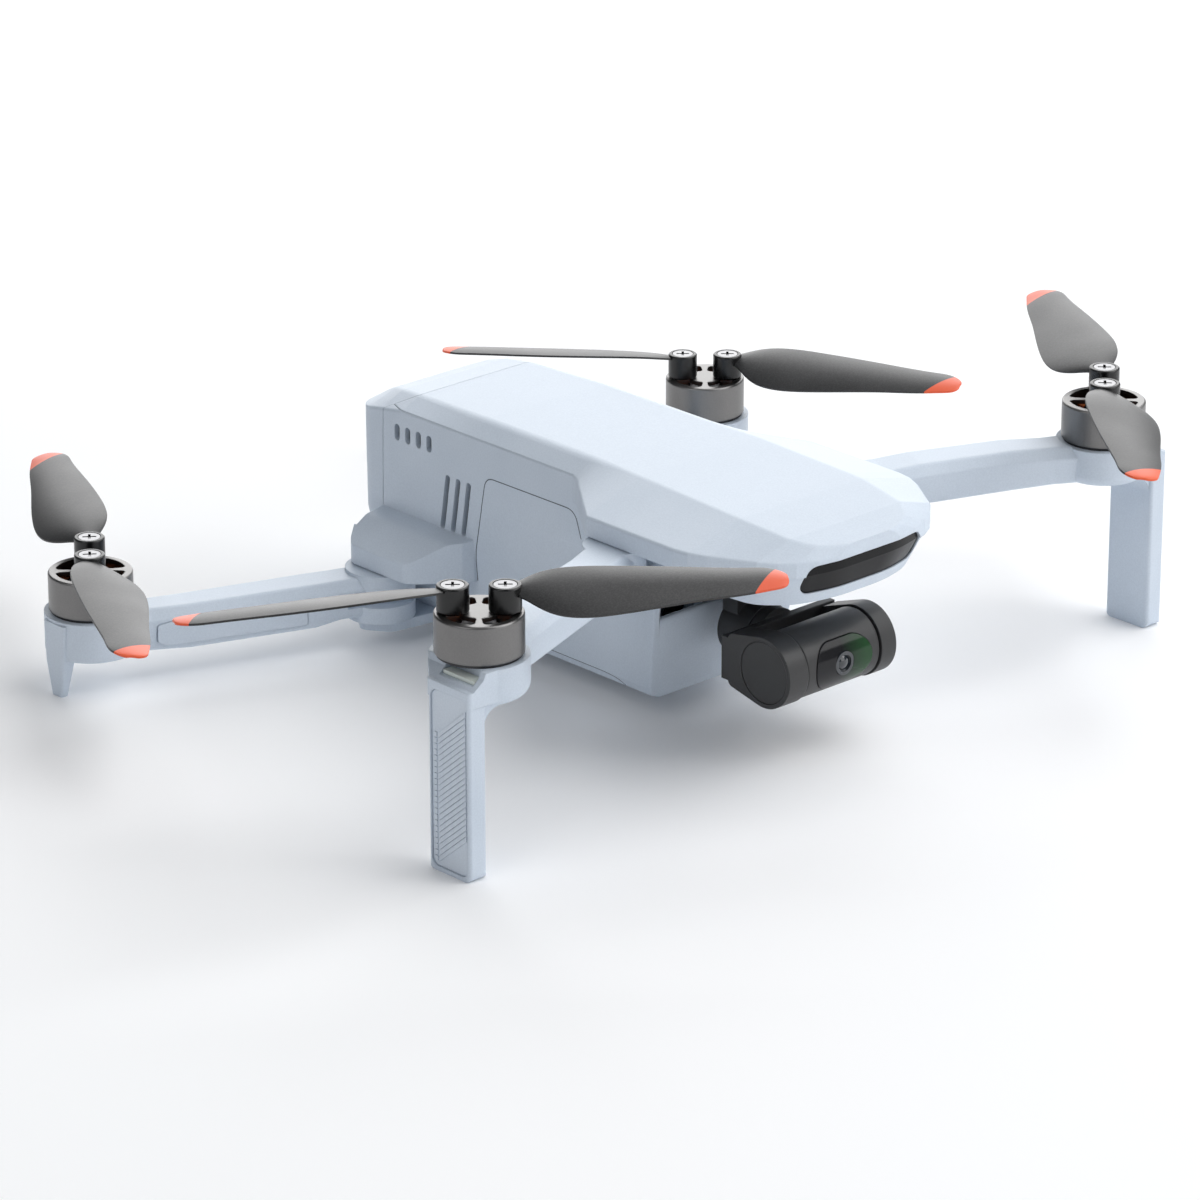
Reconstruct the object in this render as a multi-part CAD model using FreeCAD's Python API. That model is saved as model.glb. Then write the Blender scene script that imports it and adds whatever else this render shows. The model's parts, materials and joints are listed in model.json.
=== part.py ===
"""Folding camera quadcopter, in millimetres.

+Z is up, the nose points to -Y and the drone's right side is -X. The origin is on the ground, under the
centre of the four rotors. Right-hand pieces are drawn first and mirrored in the plane X = 0.
"""

import FreeCAD, Part

import math
import os

from FreeCAD import Vector

# ---- driving dimensions -------------------------------------------------------------------------------

ROTOR_X = 93.0
ROTOR_Y = 63.5
FRONT_MOTOR_Z = 45.0
REAR_MOTOR_Z = 17.7
FRONT_PIVOT = (-32.2, -38.5)
REAR_PIVOT = (-30.0, 40.0)
PIN_R = 1.2
RUNNING_GAP = 0.06
SNUG = 0.1
SLIVER = 0.01

WALL = 1.4
BODY_HALF = 22.3
SHOULDER_HALF = 34.0
SHELL_SPLIT_Z = 52.0
HOOD_Z = 45.8
CHIN_Z = 38.5
BELLY_Z = 5.5
BELLY_FRONT_Y = -38.5
BELLY_LIP_Y = -41.6
BATTERY_SEAM_Y = 48.0
SEAM_TOP_Y = 41.2
TAIL_Y = 56.2
TAIL_BEND_Y = 41.0
NOSE_Y = -82.5
NOSE_BEND_Y = -62.0
TAIL_R = 5.0
PANEL_Z = 28.2
CHARGE_LIGHTS = (-6.0, -2.0, 2.0, 6.0)
PANEL_EAR_Z = 44.0
SHORT_VENT_WIDTH = 1.7
LONG_VENT_WIDTH = 1.5

BELL_R = 9.3
BELL_WALL = 0.9
BELL_HEIGHT = 8.6
MOTOR_GAP = 0.5
BOSS_OFFSET = 5.3
BOSS_R = 3.4
BOSS_HEIGHT = 5.7
BLADE_LIFT = 4.4
BLADE_EDGE = 0.22

CAMERA_Y = -68.0
CAMERA_Z = 20.4
BARREL_R = 7.6
CAP_R = 7.9
BARREL_HALF = 10.8
CAMERA_LEFT = 15.4
CAMERA_RIGHT = -16.6
YAW_Y = -50.5

# Where each rotor's two blades lie: the bosses' line and the blades' own directions, degrees from +X.
ROTORS = {
    "front_right": {"boss": -42.0, "blades": (324.0, 154.6), "turn": 1},
    "rear_right": {"boss": 52.0, "blades": (61.0, 240.0), "turn": -1},
    "rear_left": {"boss": -43.5, "blades": (298.0, 130.7), "turn": 1},
    "front_left": {"boss": 43.0, "blades": (57.0, 230.0), "turn": -1},
}

# ---- drawing helpers ----------------------------------------------------------------------------------


def box(x0, x1, y0, y1, z0, z1):
    """A box between two opposite corners."""
    return Part.makeBox(x1 - x0, y1 - y0, z1 - z0, Vector(x0, y0, z0))


def post(x, y, z0, z1, radius):
    """An upright cylinder."""
    return Part.makeCylinder(radius, z1 - z0, Vector(x, y, z0), Vector(0, 0, 1))


def rod_x(y, z, x0, x1, radius):
    """A cylinder along X."""
    return Part.makeCylinder(radius, x1 - x0, Vector(x0, y, z), Vector(1, 0, 0))


def rod_y(x, z, y0, y1, radius):
    """A cylinder along Y."""
    return Part.makeCylinder(radius, y1 - y0, Vector(x, y0, z), Vector(0, 1, 0))


def outline(points, radii, place):
    """A closed wire through 2-D points whose corners are rounded by radii; place maps (u, v) to space."""
    count = len(points)
    starts, middles, ends = [], [], []
    for i, (u, v) in enumerate(points):
        back = Vector(points[i - 1][0] - u, points[i - 1][1] - v, 0).normalize()
        ahead = Vector(points[(i + 1) % count][0] - u, points[(i + 1) % count][1] - v, 0).normalize()
        half = back.getAngle(ahead) / 2
        reach = radii[i] / math.tan(half)
        corner = Vector(u, v, 0)
        inward = (back + ahead).normalize()
        starts.append(corner + back * reach)
        ends.append(corner + ahead * reach)
        middles.append(corner + inward * (radii[i] / math.sin(half) - radii[i]))
    edges = []
    for i in range(count):
        a, m, b = (place(p.x, p.y) for p in (starts[i], middles[i], ends[i]))
        if radii[i] > 0:
            edges.append(Part.Arc(a, m, b).toShape())
        following = starts[(i + 1) % count]
        edges.append(Part.LineSegment(b, place(following.x, following.y)).toShape())
    return Part.Wire(edges)


def corner_radii(points, radius):
    """The radius as a list with one entry per corner."""
    return list(radius) if isinstance(radius, (list, tuple)) else [radius] * len(points)


def swept(wire, direction):
    """The solid that a closed wire's face sweeps along a direction, the right way out."""
    solid = Part.Face(wire).extrude(direction)
    return solid if solid.Volume > 0 else solid.reversed()


def prism(points, radius, z0, z1):
    """An upright prism on a plan outline with rounded corners."""
    wire = outline(points, corner_radii(points, radius), lambda u, v: Vector(u, v, z0))
    return swept(wire, Vector(0, 0, z1 - z0))


def prism_x(points, radius, x0, x1):
    """A prism along X on a (y, z) outline."""
    wire = outline(points, corner_radii(points, radius), lambda u, v: Vector(x0, u, v))
    return swept(wire, Vector(x1 - x0, 0, 0))


def prism_y(points, radius, y0, y1):
    """A prism along Y on an (x, z) outline."""
    wire = outline(points, corner_radii(points, radius), lambda u, v: Vector(u, y0, v))
    return swept(wire, Vector(0, y1 - y0, 0))


def rectangle(x0, x1, y0, y1):
    """The four corners of a rectangle."""
    return [(x0, y0), (x1, y0), (x1, y1), (x0, y1)]


def joined(shapes):
    """One solid from touching or crossing ones."""
    whole = shapes[0]
    for shape in shapes[1:]:
        whole = whole.fuse(shape)
    return whole.removeSplitter()


def without(shape, tools):
    """The shape with every tool cut away."""
    for tool in tools:
        shape = shape.cut(tool)
    return shape


def mirrored(shape):
    """The same piece on the other side of the drone."""
    return shape.mirror(Vector(0, 0, 0), Vector(1, 0, 0))


def turned(shape, degrees):
    """The shape turned about the Z axis."""
    copy = shape.copy()
    copy.rotate(Vector(0, 0, 0), Vector(0, 0, 1), degrees)
    return copy


def shifted(shape, x, y, z):
    """The shape moved by x, y, z."""
    copy = shape.copy()
    copy.translate(Vector(x, y, z))
    return copy


def save(name, shape):
    """Write one node, after a check that it is made of sound solids."""
    if not shape.isValid() or not shape.Solids:
        raise ValueError(name + " is not a valid solid")
    shape.exportStep("parts/" + name + ".step")


def both_sides(name, shape):
    """Write a right-hand piece and its mirror image."""
    save(name + "_right", shape)
    save(name + "_left", mirrored(shape))


# ---- body shells --------------------------------------------------------------------------------------

# Stations along the body: y, half-width and height of the flat top, half-width and height of the bevel.
STATIONS = [
    (TAIL_Y, 12.0, 51.0, BODY_HALF, 49.4),
    (52.0, 14.0, 52.8, BODY_HALF, 50.2),
    (48.0, 15.5, 53.7, BODY_HALF, 50.9),
    (41.0, 16.5, 54.4, BODY_HALF, SHELL_SPLIT_Z),
    (18.0, 17.5, 55.1, BODY_HALF, SHELL_SPLIT_Z),
    (-15.0, 17.5, 55.2, BODY_HALF, SHELL_SPLIT_Z),
    (-16.2, 17.5, 55.2, 22.7, 51.9),
    (-17.8, 17.5, 55.2, 23.7, 51.8),
    (-20.0, 17.5, 55.2, 25.5, 51.5),
    (-31.5, 17.8, 55.1, SHOULDER_HALF, 50.2),
    (-58.0, 18.0, 54.2, SHOULDER_HALF, 50.2),
    (-62.0, 18.0, 54.0, 33.4, 50.2),
    (-66.0, 17.6, 53.6, 31.6, 50.1),
    (-75.0, 16.5, 52.6, 26.0, 49.8),
    (-78.0, 14.8, 52.0, 22.7, 49.4),
    (-80.0, 13.0, 51.6, 19.2, 49.2),
    (-81.6, 9.5, 51.2, 14.5, 49.0),
    (NOSE_Y, 6.5, 51.0, 9.0, 48.8),
]


def drawn_in(y, inset):
    """Where a station lies when the body is drawn in: the shift grows towards the nose and the tail."""
    ahead = max(0.0, (NOSE_BEND_Y - y) / (NOSE_BEND_Y - NOSE_Y))
    behind = max(0.0, (y - TAIL_BEND_Y) / (TAIL_Y - TAIL_BEND_Y))
    return y + inset * (ahead - behind)


def upper_body(inset, base):
    """The upper body from its base height up, drawn in by inset on every side."""
    wires = []
    for y, top_half, top_z, bevel_half, bevel_z in STATIONS:
        along = drawn_in(y, inset)
        side = bevel_half - inset
        top = min(top_half, side - 1.2)
        bevel = bevel_z - inset * 0.8
        points = [(-side, base), (-side, bevel), (-top, top_z - inset)]
        points += [(-u, v) for u, v in reversed(points)]
        soft = min(4.0, 2.0 * (side - top))
        radii = [0, 0.8, soft, soft, 0.8, 0]
        wires.append(outline(points, radii, lambda u, v, y=along: Vector(u, y, v)))
    return Part.makeLoft(wires, True, True)


def lower_body(inset):
    """The walls and belly below the hood's height: a box that narrows downwards, with round tail corners."""
    bottom = BELLY_Z + inset
    levels = [
        (HOOD_Z, BODY_HALF, TAIL_Y, BELLY_FRONT_Y),
        (36.4, 22.2, TAIL_Y, BELLY_FRONT_Y),
        (35.9, 22.15, TAIL_Y, BELLY_LIP_Y),
        (26.0, 22.0, TAIL_Y, BELLY_LIP_Y + 1.7),
        (bottom + 2.6, 19.8, TAIL_Y - 3.0, BELLY_LIP_Y + 4.9),
        (bottom + 0.8, 19.0, TAIL_Y - 3.8, BELLY_LIP_Y + 5.2),
        (bottom, 17.2, TAIL_Y - 5.6, BELLY_LIP_Y + 5.2),
    ]
    wires = []
    for z, half, tail, front in levels:
        points = rectangle(-half + inset, half - inset, front, tail - inset)
        wires.append(outline(points, [0.5, 0.5, TAIL_R, TAIL_R], lambda u, v, z=z: Vector(u, v, z)))
    return Part.makeLoft(wires, True, True)


def behind_seam(gap=0.0):
    """The space behind the battery seam: nearly upright on the sides, slanting forward over the bevels."""
    side = [(BATTERY_SEAM_Y + gap, 20.5 + gap), (70.0, 20.5 + gap), (70.0, 60.0), (46.7 + gap, 60.0)]
    top = [(-30.0, 70.0), (-30.0, 55.5 + gap), (-16.5, SEAM_TOP_Y + gap), (16.5, SEAM_TOP_Y + gap),
           (30.0, 55.5 + gap), (30.0, 70.0)]
    top.reverse()
    return prism_x(side, 0, -30, 30).fuse(prism(top, 0, 45.0, 60.0)).removeSplitter()


def outer_body(inset):
    """The whole body's envelope behind the nose."""
    tail = prism(rectangle(-BODY_HALF, BODY_HALF, 0.0, TAIL_Y - inset), [0, 0, TAIL_R, TAIL_R], 0, 70)
    rear = upper_body(inset, HOOD_Z - inset).common(tail)
    front = upper_body(inset, HOOD_Z + inset).common(box(-50, 50, -90, 0.0, 0, 70))
    parts = [rear, front, lower_body(inset)]
    if inset:
        half = BODY_HALF - inset
        parts.append(box(-half, half, -60.0, BATTERY_SEAM_Y, HOOD_Z - 4.0, HOOD_Z + 3.0))
    return joined(parts)


def nose(inset):
    """The nose below the bevel: its front leans back as it goes down."""
    low = [(24.0, -62.0), (23.0, -71.0), (17.2, -76.8), (8.0, -79.6)]
    high = [(24.5, -62.0), (24.5, -75.0), (19.2, -79.9), (9.5, -82.3)]
    wires = []
    for z, half in ((CHIN_Z, low), (HOOD_Z, high), (SHELL_SPLIT_Z, high)):
        right = [(-x + inset, y + inset * 0.7) for x, y in half]
        left = [(x - inset, y + inset * 0.7) for x, y in reversed(half)]
        back = [(24.0 - inset, BELLY_FRONT_Y), (-24.0 + inset, BELLY_FRONT_Y)]
        radii = [4.0, 8.2, 13.5, 32.0, 32.0, 13.5, 8.2, 4.0, 0, 0]
        wires.append(outline(right + left + back, radii, lambda u, v, z=z: Vector(u, v, z)))
    return Part.makeLoft(wires, True, True)


WINDOW = prism_y(rectangle(-17.2, 17.2, 41.0, 48.0), 3.0, -90.0, -70.0)


def shell():
    """The whole moulded skin, before it is split into its pieces."""
    hollow = outer_body(WALL)
    return outer_body(0.0).cut(hollow)


def ear_region():
    """The part of the side wall that belongs to the lower shell."""
    points = [(17.4, 17.9), (17.4, 24.0), (13.2, PANEL_EAR_Z), (-16.4, PANEL_EAR_Z), (-17.6, 35.9)]
    points += [(-60.0, 35.9), (-60.0, 0.0), (60.0, 0.0), (60.0, 17.9)]
    return prism_x(points, [0, 0, 2.5, 3.5, 0, 0, 0, 0, 0], -40, 40)


def vent_slots():
    """Four short and three long upright slots in the right-hand wall near the tail."""
    slots = []
    half = SHORT_VENT_WIDTH / 2
    for i in range(4):
        y = 42.5 - 3.55 * i
        slots.append(prism_x(rectangle(y - half, y + half, 44.8, 48.6), half - 0.05, -30, -15))
    half = LONG_VENT_WIDTH / 2
    for i in range(3):
        y = 26.8 - 3.45 * i
        lean = 2.3
        points = [(y + lean - half, 27.9), (y + lean + half, 27.9), (y + half, 41.0), (y - half, 41.0)]
        slots.append(prism_x(shear(points, -lean / 2), half - 0.1, -30, -15))
    return slots


def shear(points, shift):
    """The outline moved along its first axis."""
    return [(u + shift, v) for u, v in points]


def pivot_hole(pivot, z0, z1):
    """A hole for a hinge pin."""
    return post(pivot[0], pivot[1], z0, z1, PIN_R)


def rear_block():
    """The shoulder over the right-hand rear hinge, with its sloping top."""
    plan = [(-18.0, 17.6), (-18.0, 53.0), (-24.0, 53.0), (-34.2, 45.5), (-34.2, 26.5)]
    plan += [(-24.5, 18.6), (-22.0, 17.6)]
    upright = prism(plan, [0, 0, 3.0, 4.0, 4.0, 1.0, 0], 18.1, 29.0)
    section = [(-34.3, 18.0), (-15.0, 18.0), (-15.0, 28.8), (-21.7, 28.8), (-22.0, 27.9), (-27.0, 27.2),
               (-34.3, 22.6)]
    return upright.common(prism_y(section, [0, 0, 0, 0, 0, 3.0, 1.5], 0, 60)).cut(ear_region())


def top_shell(skin):
    """The lid: flat top, bevels, and the hood over the front hinges."""
    lid = skin.common(box(-50, 50, -15.0, 60, SHELL_SPLIT_Z, 70))
    hood = skin.common(box(-50, 50, -90, -15.0, HOOD_Z, 70))
    boss = post(FRONT_PIVOT[0], FRONT_PIVOT[1], HOOD_Z, 48.2, 3.1).common(upper_body(0.0, HOOD_Z))
    bosses = [boss, mirrored(boss)]
    body = joined([lid, hood] + bosses)
    pins = pivot_hole(FRONT_PIVOT, HOOD_Z - 1, 48.0)
    opening = WINDOW.common(box(-50, 50, -90, -60, 40, 70).cut(nose(1.3)))
    return without(body, [behind_seam(), pins, mirrored(pins), opening])


def main_frame(skin):
    """The middle of the body: side walls with vents, the battery tray and the upper rear hinge lugs."""
    walls = skin.common(box(-50, 50, -15.0, 60, 0, SHELL_SPLIT_Z))
    neck = skin.common(box(-50, 50, BELLY_FRONT_Y, -15.0, 0, HOOD_Z))
    walls = joined([walls, neck]).cut(ear_region())
    inner = BODY_HALF - WALL
    tray = box(-inner, inner, -24.0, BATTERY_SEAM_Y, PANEL_Z, PANEL_Z + 1.2)
    bulkhead = box(-inner, inner, -25.2, -24.0, PANEL_Z, 45.0)
    clear_of_ears = ear_region().common(box(-50, -20.5, -60, 60, 0, 60))
    ledges = without(joined([tray, bulkhead]), [clear_of_ears, mirrored(clear_of_ears)])
    block = rear_block()
    pins = pivot_hole(REAR_PIVOT, 18.0, 23.0)
    body = joined([walls, ledges, block, mirrored(block)])
    cavity = box(-19.0, 19.0, -24.0, 56.0, 16.0, PANEL_Z)
    slots = vent_slots()
    tools = [behind_seam(), cavity, pins, mirrored(pins)]
    return without(body, tools + slots + [mirrored(s) for s in slots])


def hinge_lug(pivot, z0, z1, reach, inner):
    """A flat lug that carries one end of a right-hand hinge pin."""
    x, y = pivot
    plan = [(inner, y + reach * 1.2), (x - reach * 0.3, y + reach), (x - reach, y)]
    plan += [(x - reach * 0.3, y - reach), (inner, y - reach * 1.4)]
    return prism(plan, [0, reach * 0.4, reach * 0.4, reach * 0.4, 0], z0, z1)


def belly_shell(skin):
    """The lower shell, with its side ears and the lower hinge lugs."""
    body = skin.common(ear_region())
    rear_lug = hinge_lug(REAR_PIVOT, 4.0, 6.3, 6.0, -16.5)
    front_lug = hinge_lug(FRONT_PIVOT, 34.2, 35.9, 5.5, -21.2)
    body = joined([body, rear_lug, mirrored(rear_lug), front_lug, mirrored(front_lug)])
    tools = []
    for pivot, low, high in ((REAR_PIVOT, 3.0, 7.0), (FRONT_PIVOT, 33.0, 37.0)):
        hole = pivot_hole(pivot, low, high)
        tools += [hole, mirrored(hole)]
    return without(body, tools + [cover_region()])


def cover_region():
    """Where the belly cover lies."""
    return prism(rectangle(-16.0, 16.0, -27.0, 44.0), 3.0, 0.0, BELLY_Z + WALL)


def belly_cover():
    """The flat cover under the belly: holes for the sensors and screws, and four posts for the board."""
    plate = prism(rectangle(-15.9, 15.9, -26.9, 43.9), 3.0, BELLY_Z, BELLY_Z + WALL)
    holes = [post(x, y, 0, 10, r) for x, y, r in SENSORS] + [post(x, y, 0, 10, 1.0) for x, y in COVER_SCREWS]
    counter = [post(x, y, 0, BELLY_Z + 0.7, 1.9) for x, y in COVER_SCREWS]
    posts = [post(x, y, BELLY_Z + 0.5, 22.9, 1.6) for x, y in BOARD_SCREWS]
    threads = [post(x, y, 15.0, 23.0, 0.8) for x, y in BOARD_SCREWS]
    return without(joined([plate] + posts), holes + counter + threads)


SENSORS = [(-6.0, -14.0, 3.4), (6.0, -14.0, 3.4), (0.0, -4.0, 2.2)]
BOARD_SCREWS = [(x, y) for x in (-13.0, 13.0) for y in (-20.0, 36.0)]
COVER_SCREWS = [(x, y) for x in (-13.4, 13.4) for y in (-23.5, 8.0, 40.5)]


def nose_bezel():
    """The lower half of the nose, with the gimbal's ceiling as its floor."""
    body = nose(0.0).common(box(-50, 50, -90, BELLY_FRONT_Y, CHIN_Z, HOOD_Z))
    hollow = nose(WALL).common(box(-50, 50, -90, BELLY_FRONT_Y - WALL, CHIN_Z + WALL, 70))
    opening = WINDOW.common(box(-50, 50, -90, -60, 40, 70).cut(nose(1.3)))
    clearance = post(FRONT_PIVOT[0], FRONT_PIVOT[1], 30, 60, 8.8)
    cable = box(-7.0, 7.0, -47.0, BELLY_FRONT_Y, CHIN_Z - 1, CHIN_Z + 2)
    mounts = [post(x, y, CHIN_Z - 1, CHIN_Z + 2, 1.0) for x, y in DAMPERS]
    return without(body, [hollow, opening, clearance, mirrored(clearance), cable] + mounts)


DAMPERS = [(-10.0, -58.0), (10.0, -58.0), (-10.0, -43.5), (10.0, -43.5)]


def nose_window():
    """The dark glossy window that wraps round the nose."""
    strip = nose(0.35).cut(nose(1.25))
    return strip.common(prism_y(rectangle(-17.1, 17.1, 41.1, 47.9), 2.9, -90.0, -70.0))


# ---- inside the body ----------------------------------------------------------------------------------


def vent_mesh():
    """Dark backing strips behind the vent slots on both sides."""
    inner = BODY_HALF - WALL
    short = box(-inner + 0.05, -inner + 0.75, 30.5, 44.0, 43.8, 49.4)
    long = box(-inner + 0.45, -inner + 1.15, 18.2, 29.8, PANEL_Z + 1.4, 42.0)
    return Part.makeCompound([short, long, mirrored(short), mirrored(long)])


def main_board():
    """The flight controller: one board with its chips and the gimbal connector."""
    board = box(-16.0, 16.0, -23.0, 43.0, 23.0, 24.2)
    chips = [box(-7.0, 7.0, -4.0, 10.0, 24.2, 25.6), box(-12.0, -5.0, 16.0, 25.0, 24.2, 25.3)]
    chips.append(box(4.0, 12.0, 18.0, 30.0, 24.2, 25.2))
    chips.append(box(-5.0, 5.0, -22.5, -18.5, 24.2, 26.4))
    holes = [post(x, y, 22.0, 25.0, 1.1) for x, y in BOARD_SCREWS]
    return without(joined([board] + chips), holes)


def board_screws():
    """Four screws that hold the main board on its posts."""
    screws = []
    for x, y in BOARD_SCREWS:
        screws.append(joined([post(x, y, 24.2, 25.4, 1.7), post(x, y, 18.0, 24.2, 0.8)]))
    return Part.makeCompound(screws)


def heat_sink():
    """A finned block under the main processor."""
    base = box(-10.0, 10.0, -10.0, 16.0, 21.0, 22.9)
    fins = [box(-10.0 + 2.7 * i, -8.9 + 2.7 * i, -10.0, 16.0, 13.0, 21.0) for i in range(8)]
    return joined([base] + fins)


def gps_module():
    """The antenna module under the lid, in front of the battery."""
    board = box(-11.0, 11.0, -58.0, -34.0, 47.3, 48.3)
    patch = box(-8.0, 8.0, -54.0, -38.0, 48.3, 51.8)
    return joined([board, patch])


def sensor_lenses():
    """Two downward cameras and the lamp between them, in the belly cover."""
    pieces = []
    for x, y, radius in SENSORS:
        glass = post(x, y, BELLY_Z + 0.3, BELLY_Z + 2.4, radius - 0.1)
        pieces.append(glass.cut(Part.makeSphere(6.0, Vector(x, y, BELLY_Z - 5.2))))
    return Part.makeCompound(pieces)


def cover_screws():
    """Six cross-head screws in the belly cover."""
    return Part.makeCompound([shifted(screw(0.95, 1.7, 0.6, 4.5), x, y, 0).mirror(
        Vector(0, 0, BELLY_Z / 2 + 0.35), Vector(0, 0, 1)) for x, y in COVER_SCREWS])


def screw(shank_r, head_r, head_height, length):
    """An upright cross-head screw: its head stands on z = 0 and its shank goes down."""
    head = post(0, 0, 0, head_height, head_r)
    slot = head_r * 0.62
    depth = head_height * 0.55
    cross = [box(-slot, slot, -0.28, 0.28, head_height - depth, head_height + 1)]
    cross.append(box(-0.28, 0.28, -slot, slot, head_height - depth, head_height + 1))
    return without(joined([head, post(0, 0, -length, 0, shank_r)]), cross)


def hinge_pins():
    """Four steel hinge pins, one for each arm."""
    rear = post(REAR_PIVOT[0], REAR_PIVOT[1], 4.6, 22.5, PIN_R)
    front = post(FRONT_PIVOT[0], FRONT_PIVOT[1], 34.4, 47.8, PIN_R)
    return Part.makeCompound([rear, mirrored(rear), front, mirrored(front)])


def front_bracket():
    """The frame across the belly's open front, with its upright post."""
    plate = lower_body(WALL + SNUG).common(box(-30, 30, -33.0, -31.8, 0, 36.0))
    windows = [box(-14.5, -3.5, -34, -31, 12.0, 31.0), box(3.5, 14.5, -34, -31, 12.0, 31.0)]
    upright = box(-6.2, -3.8, -36.0, -33.0, BELLY_Z + WALL + SNUG, 26.0)
    return joined([without(plate, windows), upright])


def gimbal_connectors():
    """Two small plugs on the front bracket."""
    middle = box(-2.6, 2.2, -35.6, -33.05, 17.0, 23.0)
    upper = box(-15.0, -9.0, -35.0, -33.05, 31.6, 34.6)
    return Part.makeCompound([middle, upper])


def gimbal_ribbon():
    """The flat cable from the bracket up to the gimbal's yaw motor."""
    front = [(-33.6, 9.0), (-33.6, 22.0), (-37.0, 33.0), (-40.7, 36.9)]
    back = [(-40.7, 37.7), (-36.4, 33.4), (-33.1, 22.1), (-33.1, 9.0)]
    return prism_x(front + back, [0, 3.0, 3.0, 0, 0, 3.0, 3.0, 0], -13.0, -7.6)


# ---- battery ------------------------------------------------------------------------------------------


def battery_case():
    """The pack itself, inside the tray."""
    body = prism_x(rectangle(-20.0, BATTERY_SEAM_Y + 2.0, 29.8, 51.0), 1.5, -19.0, 19.0)
    grooves = [box(x, x + 1.2, -21, 40.0, 50.4, 52.0) for x in (-12.0, -4.6, 3.4, 10.8)]
    return without(body, grooves)


def battery_cap():
    """The tail of the drone, which is the battery's end cap."""
    solid = outer_body(0.0).common(behind_seam(0.15))
    hollow = outer_body(WALL).common(box(-19.0, 19.0, 40.0, TAIL_Y - WALL, 22.5, 60))
    contact = box(-19.0, 19.0, 30.0, BATTERY_SEAM_Y + 2.0, 22.0, 51.0)
    button = rod_y(0.0, 42.0, 50.0, 60.0, 4.2)
    lights = [rod_y(x, 34.0, 50.0, 60.0, 0.8) for x in CHARGE_LIGHTS]
    latch = box(-8.2, 8.2, 50.0, 60.0, 23.8, 28.2)
    return without(solid, [hollow, contact, button, latch] + lights)


def power_button():
    """The round power button in the tail."""
    cap = rod_y(0.0, 42.0, TAIL_Y - 2.2, TAIL_Y - 0.2, 4.05)
    stem = rod_y(0.0, 42.0, TAIL_Y - 3.4, TAIL_Y - 2.2, 2.0)
    return joined([cap, stem])


def battery_lights():
    """Four charge lights in a row under the power button."""
    lights = [rod_y(x, 34.0, TAIL_Y - WALL, TAIL_Y - 0.05, 0.75) for x in CHARGE_LIGHTS]
    return Part.makeCompound(lights)


def battery_latch():
    """The catch that frees the battery, pressed upwards with a finger."""
    plate = box(-8.0, 8.0, TAIL_Y - WALL - 0.3, TAIL_Y - 0.1, 24.0, 27.2)
    ridges = [box(-6.0, 6.0, TAIL_Y - 0.1, TAIL_Y + 0.4, 24.6 + 0.9 * i, 25.0 + 0.9 * i) for i in range(3)]
    return joined([plate] + ridges)


# ---- gimbal -------------------------------------------------------------------------------------------

YAW_TOP = 36.9
ROLL_Y = -55.2


def gimbal_plate():
    """The plate that carries the gimbal under the nose, with the yaw motor's fixed half."""
    plate = prism(rectangle(-12.5, 12.5, -61.0, -41.0), 3.0, YAW_TOP, YAW_TOP + 0.8)
    holes = [post(x, y, 30, 45, 1.5) for x, y in DAMPERS]
    motor = post(0, YAW_Y, 35.2, YAW_TOP, 6.4)
    return without(joined([plate, motor]), holes)


def gimbal_dampers():
    """Four rubber dampers between the nose and the gimbal plate."""
    pieces = []
    for x, y in DAMPERS:
        foot = post(x, y, YAW_TOP - 0.9, YAW_TOP, 2.2)
        waist = post(x, y, YAW_TOP - 0.1, CHIN_Z - 0.1, 1.45)
        collar = post(x, y, YAW_TOP + 0.8, CHIN_Z, 2.2)
        tip = post(x, y, CHIN_Z - 0.1, CHIN_Z + WALL + 0.6, 0.95)
        pieces.append(joined([foot, waist, collar, tip]))
    return Part.makeCompound(pieces)


def yaw_arm():
    """The arm that hangs from the yaw motor and carries the roll motor."""
    cap = post(0, YAW_Y, 31.2, 35.1, 7.0)
    side = [(-57.3, 31.2), (-46.0, 31.2), (-43.6, 28.0), (-43.6, 13.6), (-48.2, 13.6), (-48.2, 29.0)]
    drop = prism_x(side, 1.0, -5.0, 5.0)
    motor = rod_y(0, CAMERA_Z, -52.2, -43.6, 6.6)
    crop = box(-10, 10, -60, -52.2, 0, 31.2)
    return without(joined([cap, drop, motor]), [crop])


def tangent_corner(back_y, back_z):
    """The front corner reached from a back corner along the line that touches the tilt motor's round."""
    along, up = back_y - CAMERA_Y, back_z - CAMERA_Z
    reach = math.hypot(along, up)
    touch = math.atan2(up, along) + math.copysign(math.acos(CAP_R / reach), up)
    touch_y, touch_z = CAP_R * math.cos(touch), CAP_R * math.sin(touch)
    share = (along + CAP_R) / (along - touch_y)
    return CAMERA_Y - CAP_R, CAMERA_Z + up + (touch_z - up) * share


def tilt_block(low, high, x0, x1):
    """A motor block: round in front, tapering to a back edge between two heights."""
    back_y = -57.2
    points = [(back_y, low), (back_y, high), tangent_corner(back_y, high), tangent_corner(back_y, low)]
    front_r = CAP_R - SLIVER
    return prism_x(points, [1.5, 1.5, front_r, front_r], x0, x1)


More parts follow.
